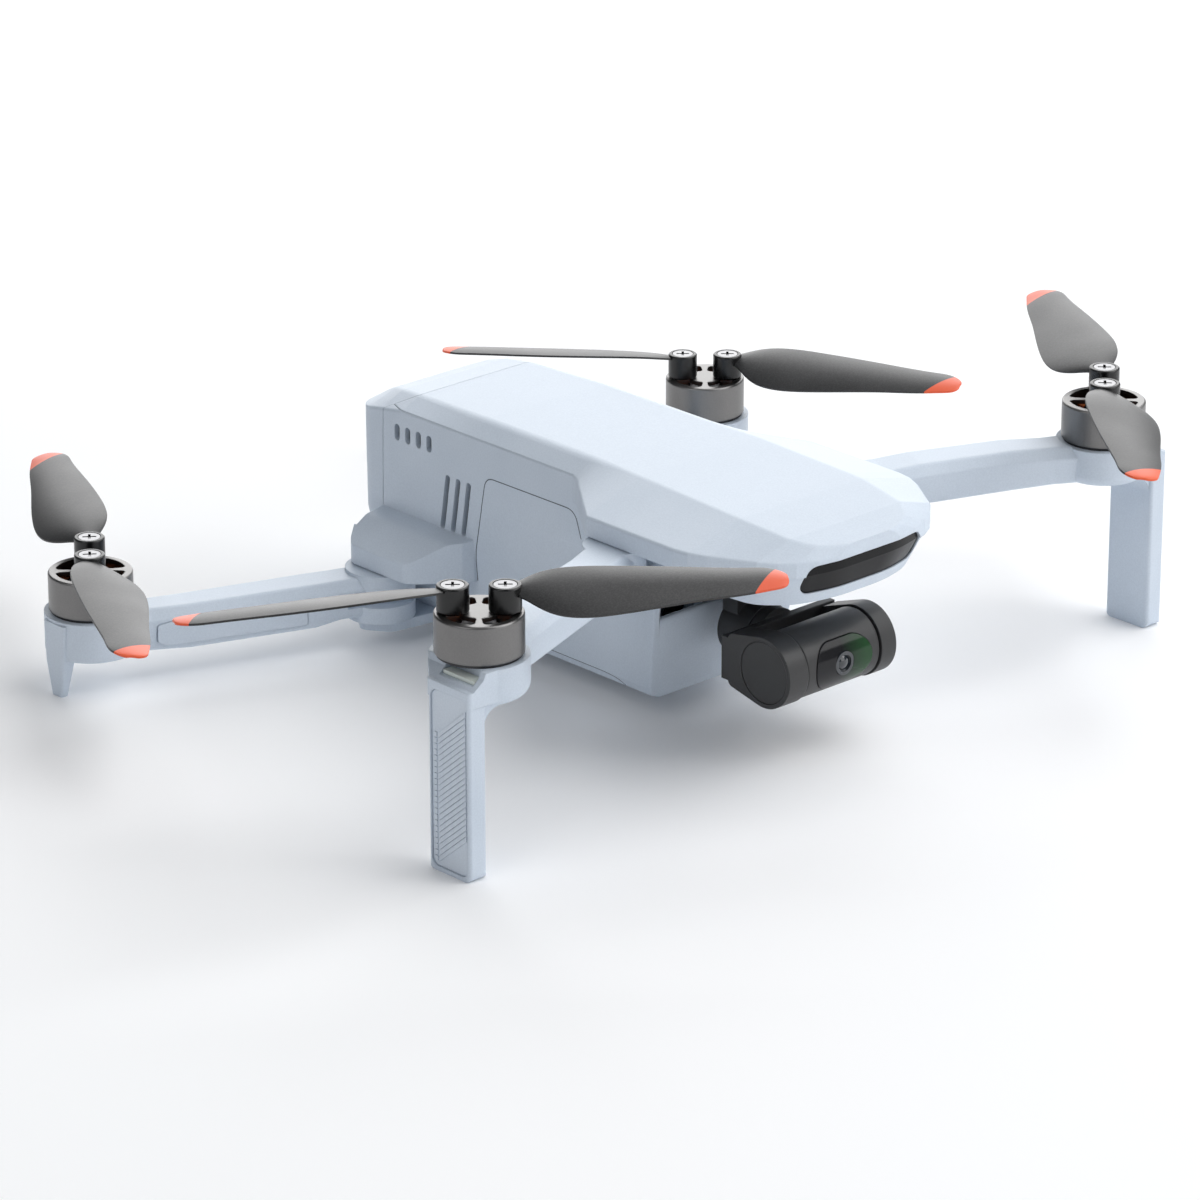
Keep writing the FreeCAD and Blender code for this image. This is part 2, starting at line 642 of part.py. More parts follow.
def roll_arm():
    """The arm that turns on the roll motor and reaches round both ends of the camera."""
    hub = rod_y(0, CAMERA_Z, ROLL_Y, -52.35, 6.4)
    back = box(CAMERA_RIGHT, CAMERA_LEFT, -57.2, ROLL_Y, 15.6, 25.4)
    inner = BARREL_HALF + 0.25
    right = tilt_block(14.7, 26.4, CAMERA_RIGHT, -inner)
    left = tilt_block(16.6, 25.0, inner, CAMERA_LEFT)
    body = joined([hub, back, right, left])
    bearings = rod_x(CAMERA_Y, CAMERA_Z, -BARREL_HALF - 2.6, BARREL_HALF + 2.6, 2.0 + RUNNING_GAP)
    recess = rod_x(CAMERA_Y, CAMERA_Z, CAMERA_RIGHT - 1, CAMERA_RIGHT + 0.5, CAP_R - 1.0)
    return without(body, [bearings, recess])


def tilt_cap():
    """The disc that closes the tilt motor's end."""
    return rod_x(CAMERA_Y, CAMERA_Z, CAMERA_RIGHT + 0.1, CAMERA_RIGHT + 0.5, CAP_R - 1.05)


def camera_barrel():
    """The camera's body: a barrel along X with its two trunnions."""
    barrel = rod_x(CAMERA_Y, CAMERA_Z, -BARREL_HALF, BARREL_HALF, BARREL_R)
    ends = [e for e in barrel.Edges if e.Curve.TypeId == "Part::GeomCircle"]
    barrel = barrel.makeFillet(0.5, ends)
    trunnions = rod_x(CAMERA_Y, CAMERA_Z, -BARREL_HALF - 2.5, BARREL_HALF + 2.5, 2.0)
    core = rod_x(CAMERA_Y, CAMERA_Z, -9, 9, BARREL_R - 0.85)
    seat = prism_y(rectangle(-8.4, 8.4, CAMERA_Z - 5.3, CAMERA_Z + 5.3), 5.25, -80, CAMERA_Y).cut(core)
    lens_seat = rod_y(0, CAMERA_Z, -90, CAMERA_Y - BARREL_R + 1.65, 2.68)
    return without(joined([barrel, trunnions]), [seat, lens_seat])


def camera_window():
    """The rounded plate in front of the camera's lens."""
    outside = rod_x(CAMERA_Y, CAMERA_Z, -9, 9, BARREL_R + 0.15)
    inside = rod_x(CAMERA_Y, CAMERA_Z, -9, 9, BARREL_R - 0.8)
    plate = prism_y(rectangle(-8.3, 8.3, CAMERA_Z - 5.2, CAMERA_Z + 5.2), 5.15, CAMERA_Y - 10, CAMERA_Y)
    return plate.common(outside.cut(inside)).cut(rod_y(0, CAMERA_Z, -90, CAMERA_Y, 2.7))


def camera_lens():
    """The lens in the middle of its plate."""
    ring = rod_y(0, CAMERA_Z, CAMERA_Y - BARREL_R - 0.1, CAMERA_Y - BARREL_R + 1.6, 2.65)
    dish = rod_y(0, CAMERA_Z, -90, CAMERA_Y - BARREL_R + 0.4, 1.9)
    glass = Part.makeSphere(2.6, Vector(0, CAMERA_Y - BARREL_R + 2.4, CAMERA_Z))
    dome = glass.common(rod_y(0, CAMERA_Z, -90, CAMERA_Y - BARREL_R + 1.0, 1.85))
    return joined([ring.cut(dish), dome])


# ---- arms ---------------------------------------------------------------------------------------------


def arm_length(pivot, rotor):
    """The distance from hinge to rotor and the arm's direction in degrees."""
    dx, dy = rotor[0] - pivot[0], rotor[1] - pivot[1]
    return math.hypot(dx, dy), math.degrees(math.atan2(dy, dx))


def laid_out(shape, pivot, rotor):
    """A piece drawn along +X from its hinge, put in its place on the right-hand side."""
    angle = arm_length(pivot, rotor)[1]
    copy = shape.copy()
    copy.rotate(Vector(0, 0, 0), Vector(0, 0, 1), angle)
    return shifted(copy, pivot[0], pivot[1], 0)


FRONT_ROTOR = (-ROTOR_X, -ROTOR_Y)
REAR_ROTOR = (-ROTOR_X, ROTOR_Y)
LEG_OUT = -104.2
LEG_IN = -99.5
LEG_Y = (-72.7, -60.2)
LEG_TOP = 41.6
PAD_LOW = 0.9
PAD_HIGH = 39.8
POD_LOW = 36.6
WEB_R = 4.0
POD_R = 10.4


def beam(stations):
    """An arm's beam along +X through stations: distance, half-width, bottom, top."""
    wires = []
    for along, half, low, high in stations:
        points = [(-half + 0.6, low), (half - 0.6, low), (half, high - 2.4)]
        points += [(half - 1.6, high), (-half + 1.6, high), (-half, high - 2.4)]
        radii = [1.2, 1.2, 0.7, 1.0, 1.0, 0.7]
        wires.append(outline(points, radii, lambda u, v, x=along: Vector(x, u, v)))
    return Part.makeLoft(wires, True, True)


def pod(rotor, low, high, edge_r):
    """A motor pod with a rounded lower edge."""
    drum = post(rotor[0], rotor[1], low, high, POD_R)
    edge = [e for e in drum.Edges if e.Curve.TypeId == "Part::GeomCircle" and e.BoundBox.ZMax < high - 1]
    return drum.makeFillet(edge_r, edge)


def front_arm():
    """A front arm in one piece: hinge barrel, beam, motor pod and landing leg."""
    low, high = 36.2, HOOD_Z - 0.3
    reach = arm_length(FRONT_PIVOT, FRONT_ROTOR)[0]
    spine = beam([
        (0.0, 6.2, low + 0.2, high),
        (12.0, 6.0, low + 0.2, high),
        (20.0, 5.9, low + 0.6, high + 0.6),
        (42.0, 5.6, low + 0.9, 46.2),
        (52.0, 5.2, low + 0.8, 45.6),
        (reach, 6.6, low + 0.6, FRONT_MOTOR_Z),
    ])
    root = Part.makeCylinder(6.8, high - low, Vector(0, 0, low), Vector(0, 0, 1))
    right = laid_out(joined([root, spine]), FRONT_PIVOT, FRONT_ROTOR)
    front_y, back_y = LEG_Y
    bridge_plan = [(LEG_OUT, front_y), (-97.0, -73.2), (-92.0, -73.6), (-92.0, -53.4), (-97.0, -54.2)]
    bridge_plan.append((LEG_OUT, back_y))
    bridge = prism(bridge_plan, [1.0, 0, 0, 0, 0, 1.0], POD_LOW + 1.4, FRONT_MOTOR_Z)
    leg = prism(rectangle(LEG_OUT, LEG_IN, front_y, back_y), 0.8, 0.0, LEG_TOP)
    toe = prism_x(rectangle(front_y, back_y, 0.0, 60.0), [1.6, 1.6, 0, 0], -110, -80)
    web = box(LEG_IN - 0.5, LEG_IN + WEB_R, front_y + 0.8, back_y - 0.8, POD_LOW - WEB_R, POD_LOW + 2.4)
    web = web.cut(rod_y(LEG_IN + WEB_R, POD_LOW - WEB_R, -90, -40, WEB_R))
    pocket = box(-120, -98.6, front_y + 1.3, back_y - 1.3, LEG_TOP + 0.6, 50.0)
    slope_section = [(LEG_OUT - 2, LEG_TOP), (LEG_OUT + 1.2, LEG_TOP), (-100.4, 43.6), (-99.4, 46.0)]
    slope = prism_y(slope_section + [(LEG_OUT - 2, 46.0)], 0, -80, -50)
    seat = prism_x(rectangle(front_y + 0.8, back_y - 0.8, PAD_LOW, PAD_HIGH), 1.9, LEG_OUT - 1, LEG_OUT + 0.8)
    body = joined([right, pod(FRONT_ROTOR, POD_LOW, FRONT_MOTOR_Z, 2.5), bridge, leg.common(toe), web])
    tools = [post(FRONT_PIVOT[0], FRONT_PIVOT[1], 30, 50, PIN_R + RUNNING_GAP), pocket, slope, seat]
    tools.append(post(FRONT_ROTOR[0], FRONT_ROTOR[1], 40.0, 46.0, 3.0))
    tools.append(post(FRONT_ROTOR[0], FRONT_ROTOR[1], FRONT_MOTOR_Z, 50.0, POD_R - 0.3))
    return without(body, tools)


def leg_light():
    """The small light under the motor, in the pocket over the leg."""
    return box(-101.2, -98.7, LEG_Y[0] + 1.5, LEG_Y[1] - 1.5, LEG_TOP + 0.65, LEG_TOP + 1.5)


def leg_pad():
    """The insert on the leg's outer face."""
    flat = rectangle(LEG_Y[0] + 0.95, LEG_Y[1] - 0.95, PAD_LOW + 0.15, PAD_HIGH - 0.15)
    return prism_x(flat, 1.75, LEG_OUT + 0.05, LEG_OUT + 0.8)


def rear_arm():
    """A rear arm in one piece: slotted hinge barrel, beam, motor pod and small foot."""
    low, high = 6.5, 17.8
    reach = arm_length(REAR_PIVOT, REAR_ROTOR)[0]
    spine = beam([
        (0.0, 5.4, low + 1.4, high - 0.6),
        (11.0, 5.4, low + 1.4, high - 0.8),
        (17.0, 5.5, low + 0.4, high - 0.8),
        (46.0, 5.3, low + 0.2, high - 1.0),
        (55.0, 5.0, low + 0.8, high - 0.8),
        (reach, 6.4, low + 2.1, REAR_MOTOR_Z),
    ])
    root = Part.makeCylinder(7.8, high - low, Vector(0, 0, low), Vector(0, 0, 1))
    slot = box(-9.0, 9.5, 3.6, 9.0, 10.4, 14.2)
    cover_seat = panel(0.0)
    right = laid_out(without(joined([root, spine]), [slot, cover_seat]), REAR_PIVOT, REAR_ROTOR)
    body = joined([right, pod(REAR_ROTOR, 8.6, REAR_MOTOR_Z, 0.8), foot_shape()])
    tools = [post(REAR_PIVOT[0], REAR_PIVOT[1], 0, 30, PIN_R + RUNNING_GAP)]
    tools.append(post(REAR_ROTOR[0], REAR_ROTOR[1], 13.0, 20.0, 3.0))
    return without(body, tools)


def foot_shape():
    """The small tapering foot under the end of a right-hand rear arm."""
    x, y = REAR_ROTOR
    wires = []
    for z, out, width, half in ((17.0, 10.6, 5.6, 3.6), (8.0, 10.8, 3.6, 3.0), (0.0, 10.4, 2.0, 1.7)):
        points = rectangle(x - out, x - out + width, y - half, y + half)
        wires.append(outline(points, [0.6] * 4, lambda u, v, z=z: Vector(u, v, z)))
    return Part.makeLoft(wires, True, True)


def panel(gap):
    """The shape of the cover let into a rear arm's front face, drawn along +X."""
    points = [(19.0 + gap, 8.2 + gap), (52.0 - gap, 8.2 + gap), (54.0 - gap, 9.6), (54.0 - gap, 13.4)]
    points += [(50.0, 14.2 - gap), (19.0 + gap, 14.2 - gap)]
    return prism_y(points, 0.6, 4.5, 9.0)


def rear_arm_cover():
    """The cover over the cable channel in a rear arm."""
    plate = panel(0.12).common(box(0, 80, 4.55, 5.25, 0, 30))
    return laid_out(plate, REAR_PIVOT, REAR_ROTOR)


# ---- motors and propellers ----------------------------------------------------------------------------


def stator():
    """A motor's fixed half at the origin: base ring, core and nine copper coils."""
    base = post(0, 0, 0, MOTOR_GAP, 8.9)
    core = post(0, 0, 0, 6.4, 3.1)
    stub = post(0, 0, -3.5, 0, 2.95)
    teeth = []
    for i in range(9):
        teeth.append(turned(box(2.8, 7.9, -1.25, 1.25, 1.3, 6.0), 40.0 * i))
    shaft_hole = post(0, 0, -5, 10, 1.0 + RUNNING_GAP)
    return without(joined([base, core, stub] + teeth), [shaft_hole])


def bell(boss_angle):
    """A motor's turning can at the origin, with four kidney openings and two screw seats."""
    z0 = MOTOR_GAP + 0.15
    can = post(0, 0, z0, BELL_HEIGHT + MOTOR_GAP - 0.1, BELL_R)
    rim = [e for e in can.Edges if e.Curve.TypeId == "Part::GeomCircle" and e.BoundBox.ZMin > 4]
    can = can.makeFillet(0.5, rim)
    top = BELL_HEIGHT + MOTOR_GAP - 0.1
    inside = post(0, 0, z0 - 1, top - 1.0, BELL_R - BELL_WALL)
    shaft = post(0, 0, -3.0, top - 1.0, 1.0)
    seats = [post(s * BOSS_OFFSET, 0, top - 2.2, top - 0.5, 1.9) for s in (-1, 1)]
    body = joined([can.cut(inside), shaft] + seats)
    ring = post(0, 0, top - 2, top + 1, 7.7).cut(post(0, 0, top - 2, top + 1, 3.9))
    tools = [post(s * BOSS_OFFSET, 0, top - 3, top + 1, 1.0) for s in (-1, 1)]
    for start in (22.0, 97.0, 202.0, 277.0):
        opening = ring.common(wedge(10.0, start, start + 61.0))
        tools.append(opening.makeFillet(0.9, upright_edges(opening)))
    return turned(without(body, tools), boss_angle)


def upright_edges(shape):
    """The shape's straight edges along Z."""
    return [e for e in shape.Edges if e.BoundBox.XLength < 1e-4 and e.BoundBox.YLength < 1e-4]


def wedge(radius, start, end):
    """An upright pie slice round the origin between two angles."""
    turns = [math.radians(t) for t in (start, (start + end) / 2, end)]
    a, m, b = (Vector(radius * math.cos(t), radius * math.sin(t), 0) for t in turns)
    middle = Vector(0, 0, 0)
    edges = [Part.LineSegment(middle, a).toShape(), Part.Arc(a, m, b).toShape()]
    edges.append(Part.LineSegment(b, middle).toShape())
    return swept(Part.Wire(edges), Vector(0, 0, 30))


# Blade sections: distance from the hinge, leading edge, trailing edge (across the blade), pitch in degrees.
BLADE_SECTIONS = [
    (2.6, 2.5, 2.5, 15.0),
    (5.5, 4.2, 5.2, 17.0),
    (9.0, 5.6, 8.0, 18.0),
    (14.0, 6.4, 9.6, 17.5),
    (21.0, 6.4, 9.6, 16.0),
    (30.0, 5.9, 8.4, 14.0),
    (40.0, 5.0, 6.8, 12.0),
    (50.0, 4.2, 5.4, 10.0),
    (54.2, 3.7, 4.4, 9.0),
    (56.6, 2.2, 3.4, 8.5),
    (57.5, 0.8, 1.6, 8.0),
]


def blade_sheet():
    """The thin curved blade along +X from its hinge, leading edge towards -Y and high."""
    wires = []
    for along, lead, trail, pitch in BLADE_SECTIONS:
        chord = lead + trail
        rise = 0.055 * chord
        thick = max(0.24, 0.52 - 0.005 * along)
        crown = (trail - lead) / 2 - 0.1 * chord
        local = [(-lead, BLADE_EDGE), (crown, rise + thick), (trail, BLADE_EDGE)]
        local += [(trail, -BLADE_EDGE), (crown, rise - thick), (-lead, -BLADE_EDGE)]
        cosine, sine = math.cos(math.radians(-pitch)), math.sin(math.radians(-pitch))
        spots = [Vector(along, y * cosine - z * sine, y * sine + z * cosine) for y, z in local]
        edges = [
            Part.Arc(spots[0], spots[1], spots[2]).toShape(),
            Part.LineSegment(spots[2], spots[3]).toShape(),
            Part.Arc(spots[3], spots[4], spots[5]).toShape(),
            Part.LineSegment(spots[5], spots[0]).toShape(),
        ]
        wires.append(Part.Wire(edges))
    return Part.makeLoft(wires, True, False)


def blade():
    """A blade with its hinge boss; the boss stands on z = 0."""
    boss = post(0, 0, 0, BOSS_HEIGHT, BOSS_R)
    rim = [e for e in boss.Edges if e.Curve.TypeId == "Part::GeomCircle"]
    boss = boss.makeFillet(0.4, rim)
    body = joined([boss, shifted(blade_sheet(), 0, 0, BLADE_LIFT - 0.1)])
    tools = [post(0, 0, -1, 10, 1.0 + RUNNING_GAP), post(0, 0, BOSS_HEIGHT - 0.9, 10, 2.55)]
    return without(body, tools)


def rotor_screws(boss_angle):
    """The two screws on which the blades fold, standing on the bell's top."""
    screws = []
    for side in (-1, 1):
        one = shifted(screw(1.0, 2.4, 0.75, BOSS_HEIGHT + 0.7), side * BOSS_OFFSET, 0, BOSS_HEIGHT - 0.8)
        screws.append(turned(one, boss_angle))
    return Part.makeCompound(screws)


def write_rotor(name, centre, base_z):
    """Write one motor, its two blades and their screws."""
    spec = ROTORS[name]
    top = base_z + BELL_HEIGHT + MOTOR_GAP
    save("stator_" + name, shifted(stator(), centre[0], centre[1], base_z))
    save("bell_" + name, shifted(bell(spec["boss"]), centre[0], centre[1], base_z))
    save("rotor_screws_" + name, shifted(rotor_screws(spec["boss"]), centre[0], centre[1], top))
    shape = blade()
    if spec["turn"] > 0:
        shape = shape.mirror(Vector(0, 0, 0), Vector(0, 1, 0))
    for i, direction in enumerate(spec["blades"]):
        boss = math.radians(spec["boss"] + 180.0 * i)
        away = math.cos(boss - math.radians(direction)) < 0
        side = -1 if away else 1
        x = centre[0] + side * BOSS_OFFSET * math.cos(boss)
        y = centre[1] + side * BOSS_OFFSET * math.sin(boss)
        save("blade_%s_%d" % (name, i + 1), shifted(turned(shape, direction), x, y, top))


# ---- writing ------------------------------------------------------------------------------------------


def main():
    """Write every node."""
    os.makedirs("parts", exist_ok=True)
    skin = shell()
    save("top_shell", top_shell(skin))
    save("main_frame", main_frame(skin))
    save("belly_shell", belly_shell(skin))
    save("belly_cover", belly_cover())
    save("nose_bezel", nose_bezel())
    save("nose_window", nose_window())
    save("vent_mesh", vent_mesh())
    save("main_board", main_board())
    save("board_screws", board_screws())
    save("heat_sink", heat_sink())
    save("gps_module", gps_module())
    save("sensor_lenses", sensor_lenses())
    save("cover_screws", cover_screws())
    save("hinge_pins", hinge_pins())
    save("front_bracket", front_bracket())
    save("gimbal_connectors", gimbal_connectors())
    save("gimbal_ribbon", gimbal_ribbon())
    save("battery_case", battery_case())
    save("battery_cap", battery_cap())
    save("battery_lights", battery_lights())
    save("power_button", power_button())
    save("battery_latch", battery_latch())
    save("gimbal_plate", gimbal_plate())
    save("gimbal_dampers", gimbal_dampers())
    save("gimbal_yaw_arm", yaw_arm())
    save("gimbal_roll_arm", roll_arm())
    save("gimbal_tilt_cap", tilt_cap())
    save("camera_barrel", camera_barrel())
    save("camera_window", camera_window())
    save("camera_lens", camera_lens())
    both_sides("arm_front", front_arm())
    both_sides("leg_pad", leg_pad())
    both_sides("leg_light", leg_light())
    both_sides("arm_rear", rear_arm())
    both_sides("rear_arm_cover", rear_arm_cover())
    centres = {
        "front_right": (FRONT_ROTOR, FRONT_MOTOR_Z),
        "rear_right": (REAR_ROTOR, REAR_MOTOR_Z),
        "rear_left": ((ROTOR_X, ROTOR_Y), REAR_MOTOR_Z),
        "front_left": ((ROTOR_X, -ROTOR_Y), FRONT_MOTOR_Z),
    }
    for name, (centre, base_z) in centres.items():
        write_rotor(name, centre, base_z)


main()
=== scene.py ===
"""The looks of a folding camera quadcopter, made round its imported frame.

Metres, +Z up, the nose towards -Y and the drone's right side towards -X. Nothing here moves a CAD part.
"""

import json
import math

import bmesh
import bpy
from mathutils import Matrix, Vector
from mathutils.bvhtree import BVHTree


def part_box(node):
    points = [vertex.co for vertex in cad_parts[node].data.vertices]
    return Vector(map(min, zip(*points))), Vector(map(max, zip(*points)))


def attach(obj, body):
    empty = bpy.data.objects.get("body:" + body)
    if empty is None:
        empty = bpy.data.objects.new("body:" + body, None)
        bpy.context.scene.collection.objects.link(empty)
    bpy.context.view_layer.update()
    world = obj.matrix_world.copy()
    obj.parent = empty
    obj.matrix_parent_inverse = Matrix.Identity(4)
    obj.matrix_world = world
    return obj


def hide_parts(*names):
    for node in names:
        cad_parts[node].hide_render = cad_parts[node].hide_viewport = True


MM = 0.001

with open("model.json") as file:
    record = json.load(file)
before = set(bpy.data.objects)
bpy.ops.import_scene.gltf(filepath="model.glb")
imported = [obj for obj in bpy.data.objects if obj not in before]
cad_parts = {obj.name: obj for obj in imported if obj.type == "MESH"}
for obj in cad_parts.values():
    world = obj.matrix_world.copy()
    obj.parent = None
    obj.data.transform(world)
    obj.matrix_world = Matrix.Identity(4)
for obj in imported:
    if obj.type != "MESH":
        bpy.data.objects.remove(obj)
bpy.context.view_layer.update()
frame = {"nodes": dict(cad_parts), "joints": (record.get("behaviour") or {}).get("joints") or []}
nodes = frame["nodes"]
joints = {joint["name"]: joint for joint in frame["joints"]}

SIDES = {"right": -1, "left": 1}
CORNERS = ("front_right", "rear_right", "rear_left", "front_left")
BLADES = (1, 2)


# ---- materials ----------------------------------------------------------------------------------------

NOISE_ROUGHNESS = 0.55
DRIFT_RANGE = (0.3, 0.7)
BEVEL_SAMPLES = 6
EDGE_RANGE = (0.99, 0.85)


class Paint:
    """A node material: each method adds one step and returns its output socket."""

    def __init__(self, name):
        self.material = bpy.data.materials.new(name)
        self.material.use_nodes = True
        self.tree = self.material.node_tree
        self.surface = self.tree.nodes["Principled BSDF"]
        self.place = self.tree.nodes.new("ShaderNodeTexCoord").outputs["Object"]

    def feed(self, socket, value):
        """Give an input a value, or link another node's output to it."""
        if isinstance(value, bpy.types.NodeSocket):
            self.tree.links.new(value, socket)
        else:
            socket.default_value = value

    def node(self, kind, values=None, **settings):
        """A node with its settings, and its inputs given as values or as other nodes' outputs."""
        made = self.tree.nodes.new(kind)
        for key, value in settings.items():
            setattr(made, key, value)
        for key, value in (values or {}).items():
            self.feed(made.inputs[key], value)
        return made

    def noise(self, scale, detail=2.0):
        """Noise in the part's own coordinates; scale is in features per metre."""
        values = {"Vector": self.place, "Scale": scale, "Detail": detail, "Roughness": NOISE_ROUGHNESS}
        return self.node("ShaderNodeTexNoise", values).outputs["Fac"]

    def steps(self, value, low, high, to_low=0.0, to_high=1.0):
        """The value mapped from one range to another, and held at its ends."""
        values = {"Value": value, "From Min": low, "From Max": high, "To Min": to_low, "To Max": to_high}
        return self.node("ShaderNodeMapRange", values, clamp=True).outputs[0]

    def maths(self, operation, first, second=0.0):
        """One sum of two values."""
        return self.node("ShaderNodeMath", {0: first, 1: second}, operation=operation).outputs[0]

    def mix(self, amount, first, second):
        """A colour between two others."""
        return self.node("ShaderNodeMix", {0: amount, 6: first, 7: second}, data_type="RGBA").outputs[2]

    def drifting(self, noise, first, second):
        """A colour that wanders between two others with a noise."""
        return self.mix(self.steps(noise, *DRIFT_RANGE), first, second)

    def rounded(self, radius):
        """The surface's normal with its edges rounded off."""
        return self.node("ShaderNodeBevel", {"Radius": radius}, samples=BEVEL_SAMPLES).outputs[0]

    def edges(self, smooth):
        """Where the rounded normal leaves the flat one: 1 on edges and 0 on open faces."""
        flat = self.node("ShaderNodeNewGeometry").outputs["Normal"]
        dot = self.node("ShaderNodeVectorMath", {0: smooth, 1: flat}, operation="DOT_PRODUCT")
        return self.steps(dot.outputs["Value"], *EDGE_RANGE)

    def bump(self, height, depth, normal):
        """A normal roughened by a height."""
        values = {"Height": height, "Distance": depth, "Strength": 1.0, "Normal": normal}
        return self.node("ShaderNodeBump", values).outputs[0]

    def set(self, **values):
        """Inputs of the surface itself; an underscore stands for a space."""
        for key, value in values.items():
            self.feed(self.surface.inputs[key.replace("_", " ")], value)


def rgb(red, green, blue):
    """A colour from its screen values, 0 to 255."""
    def linear(value):
        share = value / 255
        return share / 12.92 if share <= 0.04045 else ((share + 0.055) / 1.055) ** 2.4
    return (linear(red), linear(green), linear(blue), 1.0)


def lighter(colour, times, lift=0.0):
    """A colour made brighter, and held below white."""
    return tuple(min(1.0, share * times + lift) for share in colour[:3]) + (1.0,)


DRIFT_SCALE = 38.0
FLECK_SHARE = 0.22
# The painted edge highlight: the scale of its patches and its greatest share.
EDGE_HIGHLIGHT_PATCH_SCALE = 160.0
EDGE_HIGHLIGHT_SHARE = 0.35
ROUGHNESS_SPREAD = 0.05
COARSE_SCALE = 0.35
COARSE_HEIGHT = 0.6


def grained(name, dark, light, rough, grain=2600.0, depth=0.02, radius=0.35, metallic=0.0):
    """Moulded or blasted material: fine grain, slow drift of colour and roughness, edges rounded and
    lightened by a painted highlight in patches.
    """
    paint = Paint(name)
    smooth = paint.rounded(radius * MM)
    drift = paint.noise(DRIFT_SCALE, 3.0)
    speck = paint.noise(grain, 3.0)
    coarse = paint.noise(grain * COARSE_SCALE)
    tone = paint.drifting(drift, dark, light)
    fleck = paint.mix(paint.steps(speck, 0.35, 0.75, 0.0, FLECK_SHARE), tone, lighter(light, 1.35))
    # Painted highlight: the edges are lightened towards a paler colour, broken into patches by a noise.
    highlight_patches = paint.steps(paint.noise(EDGE_HIGHLIGHT_PATCH_SCALE), 0.35, 0.7, 0.0, EDGE_HIGHLIGHT_SHARE)
    edge_highlight = paint.maths("MULTIPLY", paint.edges(smooth), highlight_patches)
    colour = paint.mix(edge_highlight, fleck, lighter(light, 1.25, 0.01))
    wear = paint.steps(drift, 0.25, 0.75, rough - ROUGHNESS_SPREAD, rough + ROUGHNESS_SPREAD)
    height = paint.maths("ADD", speck, paint.maths("MULTIPLY", coarse, COARSE_HEIGHT))
    paint.set(Base_Color=colour, Roughness=wear, Metallic=metallic)
    paint.set(Normal=paint.bump(height, depth * MM, smooth))
    return paint.material


shell = grained("shell plastic", rgb(196, 207, 220), rgb(204, 214, 226), 0.48)
# Painted shadow: the dark strips laid along the seams stand for the shade in the gaps.
seam_painted_shadow = grained("seam shadow", rgb(66, 74, 86), rgb(80, 88, 100), 0.7, radius=0.05)
rib_shell = grained("ribbed insert", rgb(200, 210, 222), rgb(208, 217, 228), 0.6, radius=0.1)
gimbal = grained("gimbal black", rgb(42, 42, 43), rgb(50, 50, 51), 0.42, depth=0.012)
dark = grained("dark plastic", rgb(24, 25, 27), rgb(31, 32, 34), 0.5)
rubber = grained("rubber", rgb(20, 20, 21), rgb(27, 27, 28), 0.7, depth=0.03)
steel = grained("screw steel", rgb(176, 176, 178), rgb(198, 198, 200), 0.3,
                depth=0.006, radius=0.1, metallic=1.0)
motor = grained("blasted metal", rgb(114, 113, 113), rgb(128, 127, 126), 0.36,
                grain=3400.0, depth=0.014, radius=0.3, metallic=1.0)
copper = grained("copper wire", rgb(170, 92, 52), rgb(196, 112, 66), 0.3,
                 depth=0.004, radius=0.05, metallic=1.0)
iron = grained("stator steel", rgb(60, 60, 62), rgb(74, 74, 76), 0.45, radius=0.1, metallic=1.0)
sink = grained("heat sink", rgb(120, 122, 126), rgb(138, 140, 144), 0.4, radius=0.1, metallic=1.0)
board = grained("circuit board", rgb(16, 62, 44), rgb(22, 76, 54), 0.35, radius=0.05)
lamp = grained("light lens", rgb(214, 222, 214), rgb(228, 236, 228), 0.25, depth=0.002)

RIPPLE_SCALE = 60.0
POLISH_SCALE = 700.0
POLISH_DEPTH = 0.0006 * MM
# Where the painted reflection fades in along +X.
PAINTED_REFLECTION_RANGE = (-0.5 * MM, 6.5 * MM)


def gloss(name, colour, painted_reflection=None, roughness=0.06, coat=1.0, bend=1.5):
    """Dark glass, coated or plain; tint, if given, is the colour of a painted reflection that fades in along
    +X across the part.
    """
    paint = Paint(name)
    ripple = paint.noise(RIPPLE_SCALE, 1.0)
    base = paint.drifting(ripple, colour, lighter(colour, 1.4))
    if painted_reflection:
        # Painted reflection: a colour faded in over the +X half of the part.
        across = paint.node("ShaderNodeSeparateXYZ", {0: paint.place}).outputs[0]
        base = paint.mix(paint.steps(across, *PAINTED_REFLECTION_RANGE), base, painted_reflection)
    smooth = paint.rounded(0.2 * MM)
    polish = paint.bump(paint.noise(POLISH_SCALE, 1.0), POLISH_DEPTH, smooth)
    wear = paint.steps(ripple, 0.2, 0.8, roughness, roughness + ROUGHNESS_SPREAD)
    paint.set(Base_Color=base, Roughness=wear, Normal=polish)
    paint.set(Coat_Weight=coat, Coat_Roughness=0.03, IOR=bend)
    return paint.material


window = gloss("dark window", rgb(16, 16, 18), roughness=0.1, coat=0.0, bend=1.3)
# The lens plate carries a green painted reflection on its +X half.
lens_plate = gloss("lens plate", rgb(20, 20, 23), painted_reflection=rgb(34, 70, 40), roughness=0.12, coat=0.0, bend=1.35)
glass = gloss("lens glass", rgb(14, 24, 34), roughness=0.02)

RECESS_REACH = 0.9 * MM
RECESS_SAMPLES = 8


